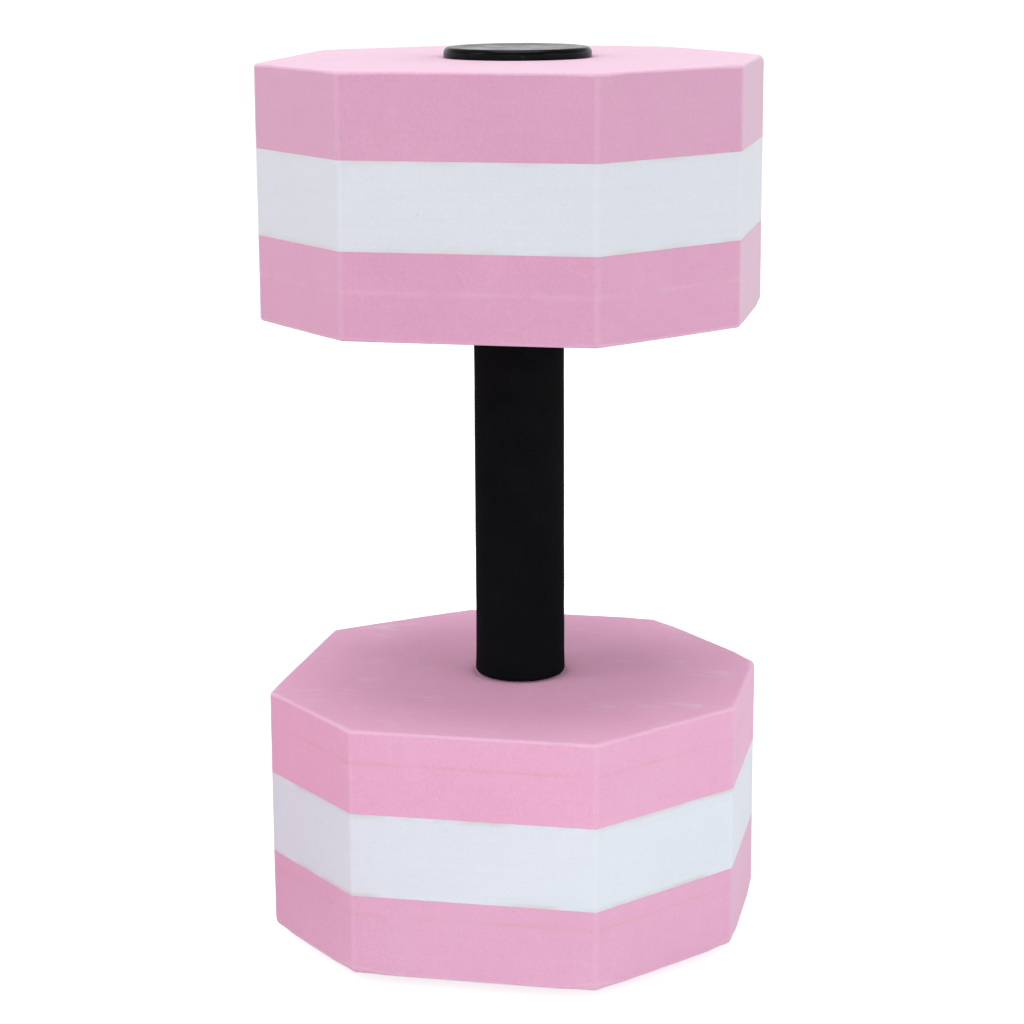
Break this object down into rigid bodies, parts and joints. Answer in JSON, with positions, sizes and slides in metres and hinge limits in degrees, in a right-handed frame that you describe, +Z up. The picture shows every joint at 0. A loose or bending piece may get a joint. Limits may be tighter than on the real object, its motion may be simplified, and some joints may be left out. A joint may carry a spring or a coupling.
{
  "type": "aquatic dumbbell",
  "caption": "Water exercise dumbbell: eight-sided layered foam floats that turn on a plastic tube with a foam hand grip, held on by flanged end caps.",
  "frame": {"origin": "centre of the lower end cap's face, on the tube's axis, where the object stands", "axes": "+Z up along the tube; -Y faces the float's front flat, between the two 36 mm corner cuts; +X faces the short flat"},
  "size_m": [0.15, 0.15, 0.2885],
  "materials": {
    "pink_foam": "matte closed-cell EVA foam, cut edges with a fine grain",
    "white_foam": "matte closed-cell EVA foam, cut edges with a fine grain",
    "grip_foam": "matte soft foam tube with a smooth skin",
    "cap_plastic": "moulded black plastic, semi-gloss",
    "tube_plastic": "extruded plastic, satin"
  },
  "bodies": {
    "handle": {"core_tube": "tube_plastic", "grip_sleeve": "grip_foam", "lower_end_cap": "cap_plastic", "upper_end_cap": "cap_plastic"},
    "lower_float": {"lower_outer_face_sheet": "pink_foam", "lower_outer_backing_sheet": "pink_foam", "lower_centre_sheet": "white_foam", "lower_inner_backing_sheet": "pink_foam", "lower_inner_face_sheet": "pink_foam"},
    "upper_float": {"upper_inner_face_sheet": "pink_foam", "upper_inner_backing_sheet": "pink_foam", "upper_centre_sheet": "white_foam", "upper_outer_sheet": "pink_foam"}
  },
  "joints": [
    {"name": "lower_float_spin", "type": "hinge", "parent": "handle", "child": "lower_float", "pos_m": [0, 0, 0.0435], "axis": [0, 0, 1], "continuous": true},
    {"name": "upper_float_spin", "type": "hinge", "parent": "handle", "child": "upper_float", "pos_m": [0, 0, 0.245], "axis": [0, 0, 1], "continuous": true}
  ]
}
